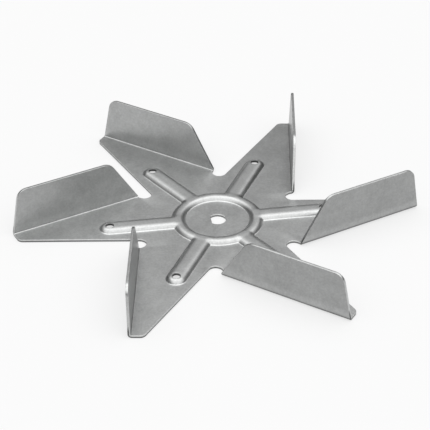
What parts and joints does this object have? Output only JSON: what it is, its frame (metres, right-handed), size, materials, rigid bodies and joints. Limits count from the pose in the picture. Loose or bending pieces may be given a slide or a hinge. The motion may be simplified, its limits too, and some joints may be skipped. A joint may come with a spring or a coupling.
{
  "type": "axial fan impeller",
  "caption": "Sheet-steel fan wheel with blades folded up along the edges of a star-shaped plate, pressed stiffening ribs and a flatted shaft hole.",
  "frame": {"origin": "on the shaft axis, in the plane of the underside of the sheet", "axes": "+Z along the shaft axis towards the side that the blades stand up on; +X along the rib of the first arm, away from the hub; the flat of the shaft hole faces -X"},
  "size_m": [0.1506, 0.1336, 0.0184],
  "materials": {
    "sheet_steel": "satin zinc-coated sheet steel, as it comes from the press, with bright rubbed crests and sheared edges"
  },
  "bodies": {
    "root": {"fan_wheel": "sheet_steel"}
  },
  "joints": []
}
